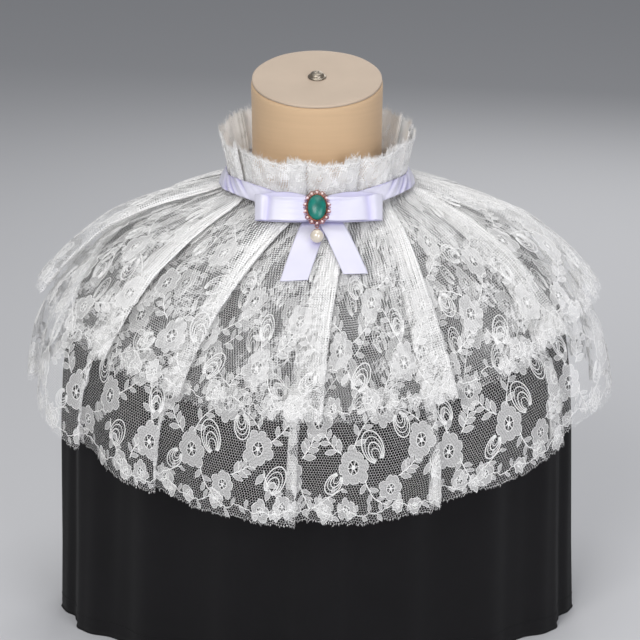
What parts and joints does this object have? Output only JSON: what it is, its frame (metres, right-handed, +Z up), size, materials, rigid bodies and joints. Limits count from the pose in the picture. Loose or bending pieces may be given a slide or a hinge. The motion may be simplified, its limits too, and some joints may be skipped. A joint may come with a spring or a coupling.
{
  "type": "detachable lace collar on a dress form",
  "caption": "Pleated two-tier lace cape collar with a standing frill, satin neckband, flat bow, oval brooch and pearl drop, worn on a limbless dress form with a black cover.",
  "frame": {"origin": "centre of the dress form's flat base", "axes": "+Z up, -Y the front of the collar, +X towards the viewer's right when seen from the front"},
  "size_m": [0.5369, 0.3709, 0.5198],
  "materials": {
    "jersey": "matt black cotton",
    "linen": "natural linen, stretched smooth",
    "board": "cloth-covered board",
    "steel": "dull plated metal",
    "lace": "machine-made net lace, warm white",
    "satin": "satin ribbon, cool white",
    "gilt": "rose-gold plated filigree",
    "stone": "polished green glass cabochon",
    "pearl": "ivory pearl lustre"
  },
  "bodies": {
    "root": {"form_body": "jersey", "form_neck": "linen", "form_neck_cap": "board", "form_neck_pin": "steel", "cape_lower": "lace", "cape_upper": "lace", "neck_frill": "lace", "neck_ribbon": "satin", "bow_loop": "satin", "bow_tail_left": "satin", "bow_tail_right": "satin", "brooch_setting": "gilt", "brooch_stone": "stone"},
    "drop_link": {"drop_link": "gilt"},
    "pearl_drop": {"pearl_drop": "pearl"}
  },
  "joints": [
    {"name": "link_swing", "type": "hinge", "parent": "root", "child": "drop_link", "pos_m": [0, -0.0918, 0.38598], "axis": [0, -0.5, 0.866], "range_deg": [-35, 35]},
    {"name": "pearl_lift", "type": "hinge", "parent": "drop_link", "child": "pearl_drop", "pos_m": [0, -0.09399, 0.38471], "axis": [-1, 0, 0], "range_deg": [0, 60]}
  ]
}
